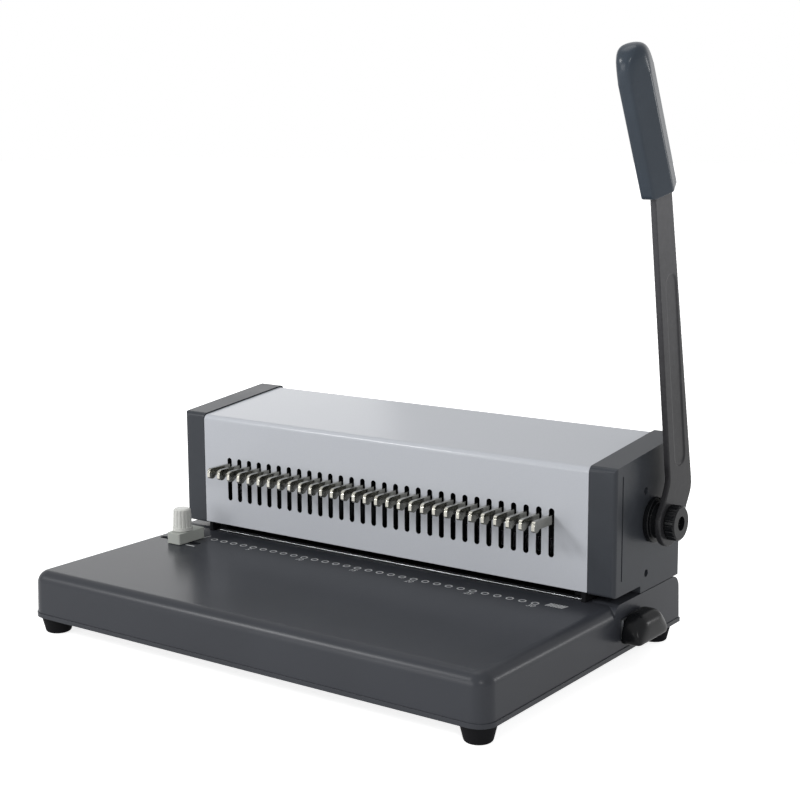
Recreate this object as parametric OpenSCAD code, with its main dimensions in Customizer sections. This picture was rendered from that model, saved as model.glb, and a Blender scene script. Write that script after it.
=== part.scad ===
// Thirty-hole paper drill: a lever-operated desk punch with pull-out punch selectors.
// Millimetres, +Z up. The origin is under the middle of the whole machine, at the feet.
// The machine is drawn about its own centre plane, with y = 0 at the cover's front face,
// and in_frame() moves each piece to that origin.

/* [Punching] */
// Distance between two neighbouring holes
hole_pitch = 9.5; // [9:0.1:10]
// Diameter of each punch
punch_d = 5.5; // [4:0.1:6]
// Sideways place of the row of holes, from the middle of the cover
row_shift = -1; // [-3:0.5:3]
// Distance from the cover's face back to the row of holes
punch_y = 26; // [24:0.5:28]
// Height of the paper inlet between the die and the punch guide
inlet_h = 5; // [4.4:0.1:6]
// Distance from a hole's edge to the paper's edge
paper_margin = 3; // [2.4:0.1:4]
// Swing of the lever, in degrees
lever_swing = 80; // [60:1:85]

/* [Cover] */
// Sheet between the last hole and each end of the cover
cover_margin = 20.75; // [18:0.25:28]
// Height of the cover's front wall
cover_h = 81.2; // [76:0.2:95]
// Depth of the cover from front to back
cover_d = 91.2; // [84:0.2:100]
// Rise of the cover's top from front to back
cover_rise = 9.4; // [0:0.2:14]
// Thickness of the cover's sheet
cover_t = 1.2; // [0.8:0.1:2]
// Outer radius of the cover's folds
cover_fold = 4; // [2.5:0.5:6]
// Clear height between the table and the cover's bottom edge
cover_gap = 7.4; // [6.4:0.1:9]
// Width of one slot in the cover
slot_w = 4.1; // [3.1:0.1:4.5]
// Height of one slot in the cover
slot_h = 32.5; // [29:0.5:36]
// Cover sheet left under the slots
slot_rise = 19; // [16:0.5:24]

/* [End caps] */
// Width of each end cap
cap_w = 19.5; // [16:0.5:26]
// Wall of the end caps
cap_wall = 2.5; // [2:0.1:3.5]
// How far an end cap stands proud of the cover's top and back
cap_proud = 1; // [0.5:0.1:3]
// Depth of the raised front part of a cap, where the table runs under it
cap_step_y = 36; // [32:0.5:40]
// Clear height between the table and the raised front part of a cap
cap_gap = 6.2; // [4:0.1:7]
// Radius of a cap's upright edges
cap_edge_r = 3; // [1:0.5:5]

/* [Base] */
// Depth of the table in front of the cover, at its top edge
table_d = 150.6; // [110:0.2:190]
// How far the table's top edge stands out past the left cap
base_left = 6; // [0.3:0.1:8]
// How far the table's top edge stands out past the right cap
base_right = 0.3; // [0.3:0.1:8]
// How far the base stands out behind the cover
base_lip = 0.8; // [0.3:0.1:12]
// Height of the base shell over its bottom tray
base_h = 29; // [28:0.5:36]
// Wall of the base shell
base_wall = 3.5; // [3:0.1:4]
// Thickness of the table
deck_t = 3; // [2.5:0.1:4]
// How far the base widens from its top to its bottom, on each side
base_draft = 0.8; // [0:0.1:2.5]
// Radius of the rounding along the table's front and side edges
table_round = 8.5; // [5:0.1:8.8]
// Radius of the base's front corners, at the bottom
base_corner = 11.5; // [10.5:0.1:16]
// Height of the bottom tray's rim
rim_h = 3; // [2.5:0.1:4]
// How far the rim stands out round the base shell
rim_out = 0.6; // [0.3:0.1:2]

/* [Feet] */
// Height of a rubber foot under the base
foot_h = 12; // [8:0.5:20]
// Diameter of a foot where it meets the base
foot_top_d = 23; // [18:0.5:26]
// Diameter of a foot where it stands
foot_d = 17; // [14:0.5:20]
// Distance from a foot's middle to the base's front and side edges
foot_inset = 13.5; // [13:0.5:22]
// Distance from a rear foot's middle to the base's back
foot_back = 11; // [10:0.5:22]

/* [Die and guide] */
// Thickness of the die plate
die_t = 5; // [4.5:0.1:6]
// How far the die plate stands over the table
die_proud = 2; // [1:0.1:2.5]
// Distance from the cover's face back to the die plate's front edge
die_front = 5; // [3:0.5:8]
// Thickness of the punch guide plate
guide_t = 8; // [6:0.5:10]
// Depth of the punch guide, half of it on each side of the holes
guide_half = 18; // [16:0.5:20]
// Thickness of the steel side plates
side_t = 3; // [2:0.1:4]

/* [Ram] */
// Half depth of the ram
ram_half = 12; // [10:0.5:13]
// Ram left under the selectors' centre line
ram_below = 17; // [16:0.5:19]
// Ram left over the selectors' centre line
ram_above = 9; // [7:0.5:14]
// Diameter of the ram's guide posts
post_d = 8; // [6:0.5:9]
// Wire of the return springs
spring_wire = 1.2; // [0.9:0.1:1.5]

/* [Selectors] */
// Thickness of one pull-out selector
pin_t = 2.4; // [1.8:0.1:2.8]
// Height of one pull-out selector
pin_h = 6; // [5:0.1:7]
// How far a selector stands out of the cover when it is pushed in
pin_out = 23.3; // [18:0.1:28]
// How far a selector pulls out
pin_pull = 12; // [10:0.5:12]

/* [Drive] */
// Distance from the cover's face back to the main shaft
shaft_y = 51.6; // [51:0.1:56]
// Height of the main shaft over the table
shaft_rise = 47.6; // [46:0.1:56]
// Diameter of the main shaft
shaft_d = 14; // [12:0.5:15]
// Module of the drive gears and racks
gear_m = 1; // [0.9:0.05:1.1]
// Width of the drive gears
gear_w = 8; // [6:0.5:9]
// Radial clearance of every running shaft
run_gap = 0.05; // [0.03:0.01:0.1]

/* [Lever] */
// Thickness of the lever arm
arm_t = 4; // [3:0.1:6]
// Distance from the right cap to the lever arm
arm_off = 9.2; // [9:0.1:14]
// Radius of the lever's boss
boss_r = 16; // [15:0.1:18]
// Height of the grip's foot over the shaft
lever_h = 213; // [170:1:240]
// Length of the grip
grip_l = 96.5; // [80:0.5:130]
// Width of the grip
grip_w = 32.6; // [30:0.2:38]
// Thickness of the grip at its ridges
grip_t = 20; // [17:0.5:22]
// Diameter of the lever's clamp knob
knob_d = 23.2; // [20:0.2:28]
// Length of the lever's clamp knob
knob_l = 7.2; // [7:0.2:16]

/* [Waste tray] */
// Width of the tray, front to back
tray_w = 33.4; // [28:0.2:34]
// Height of the tray
tray_h = 14; // [10:0.5:15]
// Wall of the tray
tray_t = 1.4; // [1:0.1:2]
// Width of the tray's arched pull
pull_w = 41; // [40:0.5:48]
// Height of the tray's pull
pull_h = 18.5; // [18:0.5:24]
// How far the pull stands out of the base
pull_l = 14.5; // [12:0.5:20]

/* [Paper stop] */
// Width of the stop block
stop_w = 12.4; // [9:0.2:14]
// Length of the stop block
stop_l = 26.8; // [22:0.2:34]
// Height of the stop block
stop_h = 8; // [6:0.5:12]
// Diameter of the stop's knob at its top
stop_knob_d = 12.8; // [10:0.2:14]
// Height of the stop's knob
stop_knob_h = 16.2; // [12:0.2:22]
// Length of the slot in the table
stop_slot_l = 38.5; // [36:0.5:42]

/* [Margin dial] */
// Diameter of the margin dial
dial_d = 20; // [16:0.5:22]
// How far the margin dial stands out of the left cap
dial_l = 11; // [8:0.5:14]
// Module of the margin pinion and rack
dial_m = 0.8; // [0.7:0.05:0.9]

/* [Hidden] */
HOLES = 30;
$fn = 48;
// clearance between seated or sliding pieces
seat = 0.3;
// clearance between a screw and its hole
screw_gap = 0.15;
eps = 0.01;

// heights
rim_z = foot_h;
shell_z = rim_z + rim_h;
table_z = shell_z + base_h;
land_h = 1;
land_z = table_z + land_h;
die_top = table_z + die_proud;
die_z = die_top - die_t;
ledge_t = 3;
ledge_z = die_z - ledge_t;
guide_z = die_top + inlet_h;
guide_top = guide_z + guide_t;
cover_z = table_z + cover_gap;
slot_z = cover_z + slot_rise;
pin_drop = 7.1;
pin_z = slot_z + slot_h - pin_drop;
shaft_z = table_z + shaft_rise;

// widths
row_w = HOLES * hole_pitch;
row_x = row_shift;
cover_x = row_w / 2 + cover_margin;
side_out = cover_x - 1.75;
side_in = side_out - side_t;
cap_x = cover_x + seat;
cap_face = cap_x + cap_w - seat;
// the base stands off to the left of the cover's middle
base_back = cover_d + base_lip;
base_mid = (base_right - base_left) / 2;
base_x = cap_face + (base_right + base_left) / 2;
foot_shell_x = base_x + base_draft;
// wall and flange of the bottom tray
tray_lining = 6;

// the drive
GEAR_TEETH = 20;
PRESSURE = 20;
gear_r = gear_m * GEAR_TEETH / 2;
travel = gear_r * lever_swing * PI / 180;
gear_in = 11.5;
gear_x = side_in - gear_in;
backlash = 0.12;
hub_w = 3;

// the ram, its posts and springs
ram_z = pin_z - ram_below;
ram_top = pin_z + ram_above;
ram_x = side_in - 2;
ram_front = punch_y - ram_half;
ram_back = punch_y + ram_half;
post_x = side_in - 8.5;
post_gap = 0.1;
spring_r = post_d / 2 + spring_wire / 2 + 0.7;
pocket_d = 2 * spring_r + spring_wire + 1;
pocket_h = 12;
SPRING_TURNS = 7;

// the punches
punch_low = guide_z + 0.6;
punch_top = pin_z - pin_h / 2 - seat;
bore_gap = 0.08;
pin_in = punch_y + punch_d / 2 + 2;

// the waste tray
pull_z = rim_z + 7.5;
pull_half = pull_w / 2;
pull_arch = 14;
tray_z = pull_z + 1;
tray_left = -side_in + 2;
pull_x = base_mid + foot_shell_x + rim_out + seat;
tray_right = pull_x;
bay_gap = 0.5;
runner_t = 2;
runner_foot = 5;

// the lever
arm_x = cap_face + arm_off;
arm_out = arm_x + arm_t;
knob_face = arm_out + knob_l;
stud_d = 6;
grip_lean = 26;
grip_seat = [-23.8, lever_h];
tang_w = 18;
tang_l = 60;
tang_gap = 0.15;
elbow_back = [-2.7, 26.5];
elbow_front = [30, 18.6];

// the paper stop
stop_x = -side_in + 1.5;
stop_y = -33;
stop_off = [1.6, 1.8];
stop_flange = 2.2;
stop_bolt_d = 4;
stop_slot_w = stop_bolt_d + 1.5;
stop_slot_out = 21.7;

// the margin dial
DIAL_TEETH = 16;
dial_r = dial_m * DIAL_TEETH / 2;
gauge_z = die_top + seat;
gauge_h = inlet_h - 2 * seat;
gauge_front = punch_y + punch_d / 2 + paper_margin;
gauge_d = 8;
rack_line = gauge_z + gauge_h - dial_m;
dial_z = rack_line + dial_r;
dial_y = punch_y + guide_half + dial_r + dial_m + 2;
dial_face = cap_face + seat + dial_l;
dial_shaft_d = 6;
arm_in = row_w / 2 + 0.5;

// the whole machine's reach, for the frame
reach = [-max(dial_face, foot_shell_x + rim_out - base_mid), max(knob_face, pull_x + pull_l)];
depth = [-table_d - base_draft - rim_out, max(cover_d + cap_proud + 1.1, base_back + rim_out)];

function pin_name(i) = str("pull_pin_", i < 10 ? "0" : "", i);
function hole_x(i) = row_x + (i - (HOLES + 1) / 2) * hole_pitch;

// A point list for a closed outline whose corners [x, y, radius] are rounded by arcs
function unit(v) = v / norm(v);
function corner_arc(a, b, c, r) =
    let (u = unit(a - b), v = unit(c - b), half = acos(min(1, max(-1, u * v))) / 2,
         o = b + unit(u + v) * r / sin(half), s = b + u * r / tan(half) - o,
         e = b + v * r / tan(half) - o, a0 = atan2(s[1], s[0]),
         turn = (atan2(e[1], e[0]) - a0 + 540) % 360 - 180, n = max(3, ceil(abs(turn) / 12)))
    [for (i = [0:n]) o + r * [cos(a0 + turn * i / n), sin(a0 + turn * i / n)]];
function rounded(p) =
    let (n = len(p))
    [for (i = [0:n - 1])
        let (a = p[(i + n - 1) % n], b = p[i], c = p[(i + 1) % n])
        for (q = b[2] > 0
                ? corner_arc([a[0], a[1]], [b[0], b[1]], [c[0], c[1]], b[2])
                : [[b[0], b[1]]]) q];

// Involute gear outline with one tooth centred on +X
function tooth_half(r, m, n) =
    let (rb = m * n / 2 * cos(PRESSURE), t = sqrt(max(0, pow(r / rb, 2) - 1)),
         pitch_inv = tan(PRESSURE) * 180 / PI - PRESSURE)
    90 / n - backlash / 2 / (m * n / 2) * 180 / PI + pitch_inv - (t * 180 / PI - atan(t));
function gear_points(m, n) =
    let (r = m * n / 2, low = r - 1.2 * m, tip = r + 0.95 * m,
         base = max(low, r * cos(PRESSURE)), steps = 4,
         radii = [low, for (i = [0:steps]) base + (tip - base) * i / steps])
    [for (k = [0:n - 1], side = [-1, 1])
        for (i = side < 0 ? [0:steps + 1] : [steps + 1:-1:0])
            let (q = radii[i], a = 360 / n * k + side * tooth_half(max(q, base), m, n))
            q * [cos(a), sin(a)]];

// Rack outline: teeth point to +Y from the pitch line y = 0, one gap is centred on x = 0
module rack(m, from, to, body) {
    p = PI * m;
    add = 0.95 * m;
    ded = 1.2 * m;
    w = p / 4 - backlash / 2;
    intersection() {
        translate([from, -body]) square([to - from, body + add]);
        union() {
            translate([from, -body]) square([to - from, body - ded]);
            for (k = [floor(from / p) - 1:ceil(to / p)])
                polygon([for (q = [[-w - ded * tan(PRESSURE), -ded - eps],
                                   [-w + add * tan(PRESSURE), add],
                                   [w - add * tan(PRESSURE), add],
                                   [w + ded * tan(PRESSURE), -ded - eps]])
                             q + [p * (k + 0.5), 0]]);
        }
    }
}

// Moves a piece from the machine's own centre plane to the frame's origin
module in_frame() {
    translate([-(reach[0] + reach[1]) / 2, -(depth[0] + depth[1]) / 2, 0]) children();
}
// Extrudes an outline drawn as [y, z] along X, from x0 to x1
module along_x(x0, x1) {
    translate([x0, 0, 0]) rotate([90, 0, 90]) linear_extrude(x1 - x0) children();
}
// Extrudes an outline drawn as [x, z] along Y, from y0 to y1
module along_y(y0, y1) {
    translate([0, y1, 0]) rotate([90, 0, 0]) linear_extrude(y1 - y0) children();
}
// A round bar along X
module rod_x(d, x0, x1, y, z) {
    translate([x0, y, z]) rotate([0, 90, 0]) cylinder(d = d, h = x1 - x0);
}
// A round bar along Y
module rod_y(d, y0, y1, x, z) {
    translate([x, y1, z]) rotate([90, 0, 0]) cylinder(d = d, h = y1 - y0);
}
module box(lo, hi) {
    translate(lo) cube(hi - lo);
}
module both_sides() {
    children();
    mirror([1, 0, 0]) children();
}
// A knob standing on z = 0, with grooves all round; it tapers from d1 to d2
module fluted(d1, d2, h, flutes, groove) {
    rim = 1;
    taper = atan((d1 - d2) / 2 / h);
    difference() {
        union() {
            cylinder(d1 = d1, d2 = d2, h = h - rim);
            translate([0, 0, h - rim]) cylinder(d1 = d2, d2 = d2 - 2.4 * rim, h = rim);
        }
        for (a = [0:360 / flutes:359])
            rotate(a) translate([d1 / 2 + groove * 0.25, 0, 0]) rotate([0, -taper, 0])
                translate([0, 0, -1]) cylinder(d = groove, h = h + 2, $fn = 16);
    }
}

/* ---- base ---- */

foot_places = [for (x = [-1, 1], y = [depth[0] + foot_inset, base_back - foot_back])
    [base_mid + x * (foot_shell_x + rim_out - foot_inset), y]];

// Cross-section of the base's filleted edge, outwards from the corners' centre line
module edge_section() {
    polygon(rounded([[0, 0, 0], [base_corner, 0, 0],
                     [base_corner - base_draft, base_h, table_round], [0, base_h, 0]]));
}

// The table's front part: a slab whose front and side edges are rounded over
module table_slab(back) {
    cx = foot_shell_x - base_corner;
    cy = -table_d - base_draft + base_corner;
    translate([base_mid, 0, shell_z]) {
        both_sides() {
            translate([cx, cy, 0]) rotate_extrude($fn = 64) edge_section();
            translate([cx, 0, 0]) along_y(cy, back) edge_section();
        }
        translate([0, cy, 0]) rotate(180) along_x(-cx, cx) edge_section();
        box([-cx, cy, 0], [cx, back, base_h]);
    }
}

// The part under the mechanism: straight edges, rounded over at the back
module mechanism_slab() {
    translate([base_mid, 0, 0]) intersection() {
        along_y(0, base_back)
            polygon([[-foot_shell_x, shell_z], [foot_shell_x, shell_z],
                     [base_x, land_z], [-base_x, land_z]]);
        along_x(-foot_shell_x, foot_shell_x)
            polygon(rounded([[-eps, shell_z, 0], [base_back, shell_z, 0],
                             [base_back, land_z, table_round], [0, land_z, table_round]]));
    }
}

module base_shell() {
    wall_x = foot_shell_x - base_draft - base_wall;
    front = -table_d + base_wall;
    back = base_back - base_wall;
    step = 5;
    bay_y = punch_y;
    color("#47484C") in_frame() difference() {
        union() {
            difference() {
                union() {
                    table_slab(12);
                    mechanism_slab();
                }
                // the hollow, stepped in under the rounded edges
                translate([base_mid, 0, 0]) {
                    box([-wall_x, front, shell_z - 1], [wall_x, back, table_z - deck_t - step]);
                    box([-wall_x + step, front + step, shell_z - 1],
                        [wall_x - step, die_front - 4, table_z - deck_t]);
                    box([-wall_x + step, die_front - 4 - eps, shell_z - 1],
                        [wall_x - step, back - step, ledge_z]);
                }
                // between the caps the table is level
                box([-cap_x - 0.5, -2, table_z], [cap_x + 0.5, base_back + 1, land_z + 1]);
            }
            for (p = foot_places)
                translate([p[0], p[1], shell_z])
                    cylinder(d = 9, h = table_z - deck_t - shell_z + eps);
        }
        // seat of the die plate and the chute under the punches
        box([-side_in, die_front - seat, die_z], [side_in, die_back() + seat, land_z + 1]);
        box([-row_w / 2 - 4, punch_y - 6, shell_z], [row_w / 2 + 4, punch_y + 6, die_z + 1]);
        // bay of the waste tray
        box([0, bay_y - tray_w / 2 - bay_gap, tray_z - bay_gap],
            [foot_shell_x + 1, bay_y + tray_w / 2 + bay_gap, tray_z + tray_h + bay_gap]);
        // slot of the paper stop
        translate([stop_x - stop_slot_out, stop_y, table_z - deck_t - step - 1])
            linear_extrude(deck_t + step + 2) {
                for (x = [stop_slot_w / 2, stop_slot_l - stop_slot_w / 2])
                    translate([x, 0]) circle(d = stop_slot_w);
                translate([stop_slot_w / 2, -stop_slot_w / 2])
                    square([stop_slot_l - stop_slot_w, stop_slot_w]);
            }
        for (p = foot_places)
            translate([p[0], p[1], shell_z - 1]) cylinder(d = 4 + 2 * run_gap, h = 13);
        for (p = frame_screw_places())
            translate([p[0], p[1], ledge_z - 1]) cylinder(d = 4 + 2 * screw_gap, h = 12);
    }
}
function die_back() = punch_y + guide_half + 2;

module bottom_tray() {
    out_x = foot_shell_x + rim_out;
    out_y = depth[0];
    r = base_corner + rim_out;
    floor_t = 1.6;
    color("#2E2F32") in_frame() difference() {
        translate([base_mid, 0, 0]) union() {
            for (x = [-1, 1])
                translate([x * (out_x - r), out_y + r, rim_z]) cylinder(r = r, h = rim_h);
            box([-out_x + r, out_y, rim_z], [out_x - r, out_y + r + eps, shell_z]);
            box([-out_x, out_y + r, rim_z], [out_x, base_back + rim_out, shell_z]);
        }
        difference() {
            box([base_mid - foot_shell_x + tray_lining, out_y + tray_lining + 1, rim_z + floor_t],
                [base_mid + foot_shell_x - tray_lining, base_back - tray_lining, shell_z + 1]);
            for (p = foot_places)
                translate([p[0], p[1], rim_z]) cylinder(d = 14, h = rim_h);
        }
        for (p = foot_places)
            translate([p[0], p[1], rim_z - 1]) cylinder(d = 4 + 2 * screw_gap, h = rim_h + 2);
    }
}

module rubber_feet() {
    edge = 2;
    recess_d = 9;
    color("#1B1B1C") in_frame() for (p = foot_places)
        translate([p[0], p[1], 0]) rotate_extrude()
            polygon(rounded([[2.4, foot_h - 3.5, 0], [recess_d / 2, foot_h - 3.5, 0],
                             [recess_d / 2, 0, 0.6], [foot_d / 2, 0, edge],
                             [foot_top_d / 2, foot_h, 0.8], [2.4, foot_h, 0]]));
}

// One screw through each foot, and two up into the lug of each side plate
module base_screws() {
    head_h = 2.6;
    foot_head = foot_h - 3.5;
    color("#8A8C90") in_frame() {
        for (p = foot_places) translate([p[0], p[1], foot_head - head_h]) {
            cylinder(d = 7.5, h = head_h - eps);
            translate([0, 0, head_h - 2 * eps]) cylinder(d = 4, h = 3.5 + rim_h + 9);
        }
        for (p = frame_screw_places()) translate([p[0], p[1], ledge_z - head_h]) {
            cylinder(d = 7.5, h = head_h);
            cylinder(d = 4, h = table_z + side_t + 1 - ledge_z + head_h);
        }
    }
}

/* ---- frame ---- */

module die_plate() {
    lead = 1.2;
    color("#B9BCC0") in_frame() difference() {
        along_x(-side_in + seat, side_in - seat)
            polygon([[die_front, die_z], [die_back(), die_z], [die_back(), die_top],
                     [die_front + lead, die_top], [die_front, die_top - lead]]);
        for (i = [1:HOLES])
            translate([hole_x(i), punch_y, die_z - 1])
                cylinder(r = punch_d / 2 + bore_gap, h = die_t + 2, $fn = 32);
    }
}

module punch_guide() {
    end_w = 8;
    color("#8D9094") in_frame() difference() {
        union() {
            box([-side_in + seat, punch_y - guide_half, guide_z],
                [side_in - seat, punch_y + guide_half, guide_top]);
            both_sides()
                box([side_in - seat - end_w, punch_y - guide_half, die_top],
                    [side_in - seat, punch_y + guide_half, guide_z + eps]);
        }
        for (i = [1:HOLES])
            translate([hole_x(i), punch_y, guide_z - 1])
                cylinder(r = punch_d / 2 + bore_gap, h = guide_t + 2, $fn = 32);
        for (x = [-post_x, post_x])
            translate([x, punch_y, guide_z + 2])
                cylinder(d = post_d + 2 * run_gap, h = guide_t);
    }
}

// Outline of a side plate, just inside the cover
module side_outline() {
    inset = cover_t + seat;
    slope = cover_rise / cover_d;
    top = cover_z + cover_h - inset - slope * inset;
    polygon(rounded([[inset, table_z, 0], [cover_d - inset, table_z, 0],
                     [cover_d - inset, top + slope * (cover_d - inset), cover_fold],
                     [inset, top + slope * inset, cover_fold]]));
}

function frame_screw_places() =
    [for (x = [-1, 1], y = [die_back() + 16, cover_d - 16]) [x * (side_in - 8), y]];

module side_plate(side) {
    foot = 14;
    foot_y = die_back() + 8;
    difference() {
        union() {
            if (side > 0) along_x(side_in, side_out) side_outline();
            else along_x(-side_out, -side_in) side_outline();
            box([side > 0 ? side_in - foot : -side_in - eps, foot_y, table_z],
                [side > 0 ? side_in + eps : -side_in + foot, cover_d - 8, table_z + side_t]);
        }
        rod_x(bush_d() + 2 * run_gap, side * side_in - 5, side * side_in + 5, shaft_y, shaft_z);
        for (p = cap_screw_places())
            rod_x(3 + 2 * run_gap, side * side_in - 5, side * side_in + 5, p[0], p[1]);
        if (side < 0)
            rod_x(dial_shaft_d + 2 * run_gap, -side_in - 5, -side_in + 1, dial_y, dial_z);
        for (p = frame_screw_places())
            if (p[0] * side > 0)
                translate([p[0], p[1], table_z - 1]) cylinder(d = 4 + 2 * run_gap, h = 6);
    }
}
module side_plate_left() { color("#9A9DA1") in_frame() side_plate(-1); }
module side_plate_right() { color("#9A9DA1") in_frame() side_plate(1); }

/* ---- cover and caps ---- */

// The cover's cross-section, inset by t; its back wall reaches down to the table
module cover_outline(t) {
    slope = cover_rise / cover_d;
    low = t > 0 ? table_z : cover_z;
    foot = t > 0 ? table_z : table_z + seat;
    top = cover_z + cover_h - t * norm([1, slope]);
    polygon(rounded([[t, low, 0], [2 * cover_t, low, 0], [cover_d - 2 * cover_t, foot, 0],
                     [cover_d - t, foot, 0],
                     [cover_d - t, top + slope * (cover_d - t), cover_fold - t],
                     [t, top + slope * t, cover_fold - t]]));
}

module cover() {
    color("#B9BDC4") in_frame() difference() {
        along_x(-cover_x, cover_x) difference() {
            cover_outline(0);
            cover_outline(cover_t);
        }
        for (i = [1:HOLES]) {
            for (z = [slot_z + slot_w / 2, slot_z + slot_h - slot_w / 2])
                rod_y(slot_w, -1, cover_t + 1, hole_x(i), z, $fn = 24);
            box([hole_x(i) - slot_w / 2, -1, slot_z + slot_w / 2],
                [hole_x(i) + slot_w / 2, cover_t + 1, slot_z + slot_h - slot_w / 2]);
        }
    }
}

function cap_back() = cover_d + cap_proud + 1.1;
// the two screws of a cap, from the shaft's axis
cap_screw_high = [-10.4, 20.9];
cap_screw_low = [-7.8, -34.5];
function cap_screw_places() = [for (p = [cap_screw_high, cap_screw_low]) [shaft_y, shaft_z] + p];

// A cap's outline, inset by t
module cap_outline(t) {
    slope = cover_rise / cover_d;
    top = cover_z + cover_h + cap_proud - t;
    low = table_z + cap_gap + t;
    foot = land_z + seat + t;
    polygon(rounded([[t, low, 2], [cap_step_y + t, low, 1], [cap_step_y + t, foot, 0.5],
                     [cap_back() - t, foot, 2],
                     [cap_back() - t, top + slope * cap_back(), cover_fold - t / 2],
                     [t, top, cover_fold - t / 2]]));
}

// A right-hand cap: a moulded cover open towards the machine
module cap_body() {
    groove_w = 1.4;
    groove_d = 0.7;
    groove_y = 9.5;
    difference() {
        intersection() {
            union() {
                difference() {
                    along_x(cap_x, cap_face) cap_outline(0);
                    along_x(cap_x - 1, cap_face - cap_wall) cap_outline(cap_wall);
                }
                for (p = cap_screw_places())
                    rod_x(9, side_out + seat, cap_face - 1, p[0], p[1]);
            }
            // soft upright edges on the outer face
            translate([0, 0, rim_z]) linear_extrude(2 * cover_h + table_z)
                polygon(rounded([[side_out, 0, 0], [cap_face, 0, cap_edge_r],
                                 [cap_face, cap_back(), cap_edge_r],
                                 [side_out, cap_back(), 0]]));
        }
        box([cap_face - groove_d, groove_y - groove_w / 2, cover_z + 8],
            [cap_face + 1, groove_y + groove_w / 2, cover_z + cover_h - 5]);
        for (p = cap_screw_places()) {
            rod_x(5, side_out + seat + 3, cap_face + 1, p[0], p[1]);
            rod_x(3 + 2 * run_gap, side_out, cap_face, p[0], p[1]);
        }
    }
}

module end_cap_right() {
    color("#4B4C50") in_frame() difference() {
        cap_body();
        rod_x(shaft_d + 1, cap_face - 5, cap_face + 1, shaft_y, shaft_z);
    }
}

module end_cap_left() {
    color("#4B4C50") in_frame() difference() {
        mirror([1, 0, 0]) cap_body();
        rod_x(dial_shaft_d + 1, -cap_face - 1, -cap_face + 5, dial_y, dial_z);
    }
}

module cap_screws() {
    color("#6D6F73") in_frame() both_sides() for (p = cap_screw_places()) {
        rod_x(4.6, side_out + seat + 3, side_out + seat + 5.4, p[0], p[1]);
        rod_x(3, side_in, side_out + seat + 3 + eps, p[0], p[1]);
    }
}

/* ---- ram, punches and selectors ---- */

module ram() {
    slot_gap = seat;
    color("#7F8286") in_frame() difference() {
        union() {
            box([-ram_x, ram_front, ram_z], [ram_x, ram_back, ram_top]);
            // racks facing the gears
            for (x = [-gear_x - gear_w / 2, gear_x - gear_w / 2])
                translate([x, 0, shaft_z]) rotate([90, 0, 90]) linear_extrude(gear_w)
                    rotate(-90) mirror([1, 0]) translate([0, shaft_y - gear_r])
                        rack(gear_m, -6, travel + 6, shaft_y - gear_r - ram_back + eps);
        }
        for (i = [1:HOLES]) {
            box([hole_x(i) - pin_t / 2 - slot_gap, ram_front - 1, pin_z - pin_h / 2 - slot_gap],
                [hole_x(i) + pin_t / 2 + slot_gap, pin_in + seat, pin_z + pin_h / 2 + slot_gap]);
            translate([hole_x(i), punch_y, ram_z - 1])
                cylinder(r = punch_d / 2 + bore_gap, h = pin_z - ram_z, $fn = 32);
        }
        for (x = [-post_x, post_x])
            translate([x, punch_y, 0]) {
                translate([0, 0, ram_z - 1]) cylinder(d = post_d + 2 * post_gap, h = ram_top - ram_z + 2);
                translate([0, 0, ram_z - 1]) cylinder(d = pocket_d, h = pocket_h + 1);
            }
    }
}

module punches() {
    color("#C9CBCE") in_frame() for (i = [1:HOLES])
        translate([hole_x(i), punch_y, punch_low]) difference() {
            cylinder(d = punch_d, h = punch_top - punch_low, $fn = 32);
            // hollow-ground cutting edge
            translate([0, 0, -eps]) cylinder(d1 = punch_d - 1, d2 = 0.4, h = 1.6, $fn = 32);
        }
}

// A flat steel selector on edge, with a finger lobe at its front end
module pull_pin(i) {
    lobe = 1.8;
    disc_r = (pin_h + lobe) / 2;
    flat = 0.7;
    notch = 0.5;
    disc_y = -pin_out + disc_r - flat;
    color("#8C8D86") in_frame() along_x(hole_x(i) - pin_t / 2, hole_x(i) + pin_t / 2)
        translate([0, pin_z]) difference() {
            union() {
                polygon(rounded([[disc_y, pin_h / 2, 0], [disc_y, -pin_h / 2, 0],
                                 [pin_in, -pin_h / 2, 0.4], [pin_in, pin_h / 2, 1]]));
                translate([disc_y, -lobe / 2]) circle(r = disc_r);
            }
            // the finger disc is flat in front, with a small notch
            translate([-pin_out - 2 * disc_r, -2 * disc_r]) square([2 * disc_r, 4 * disc_r]);
            translate([-pin_out, pin_h / 8]) circle(r = notch, $fn = 16);
        }
}

module guide_posts() {
    head = 3;
    color("#B4B7BB") in_frame() for (x = [-post_x, post_x])
        translate([x, punch_y, 0]) {
            translate([0, 0, guide_z + 2]) cylinder(d = post_d, h = ram_top + seat + 1 - guide_z - 2);
            translate([0, 0, ram_top + seat]) cylinder(d = post_d + 5, h = head);
        }
}

// One closed tube along a helix, from z = 0 to z = h
module helix_spring(r, wire, h, turns, steps, sides) {
    n = turns * steps;
    rise = h - wire;
    points = [for (k = [0:n], j = [0:sides - 1])
        let (a = 360 * k / steps, b = 360 * j / sides, q = r + wire / 2 * cos(b))
        [q * cos(a), q * sin(a), wire / 2 + rise * k / n + wire / 2 * sin(b)]];
    walls = [for (k = [0:n - 1], j = [0:sides - 1])
        let (a = k * sides + j, b = k * sides + (j + 1) % sides)
        each [[a, a + sides, b], [b, a + sides, b + sides]]];
    ends = [[for (j = [0:sides - 1]) j],
            [for (j = [0:sides - 1]) n * sides + sides - 1 - j]];
    polyhedron(points, concat(walls, ends));
}

module return_springs() {
    low = guide_top + 0.1;
    high = ram_z + pocket_h - 0.1;
    color("#A8ABAF") in_frame() for (x = [-post_x, post_x])
        translate([x, punch_y, low])
            helix_spring(spring_r, spring_wire, high - low, SPRING_TURNS, 14, 6);
}

/* ---- drive ---- */

function bush_d() = shaft_d + 6;

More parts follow.
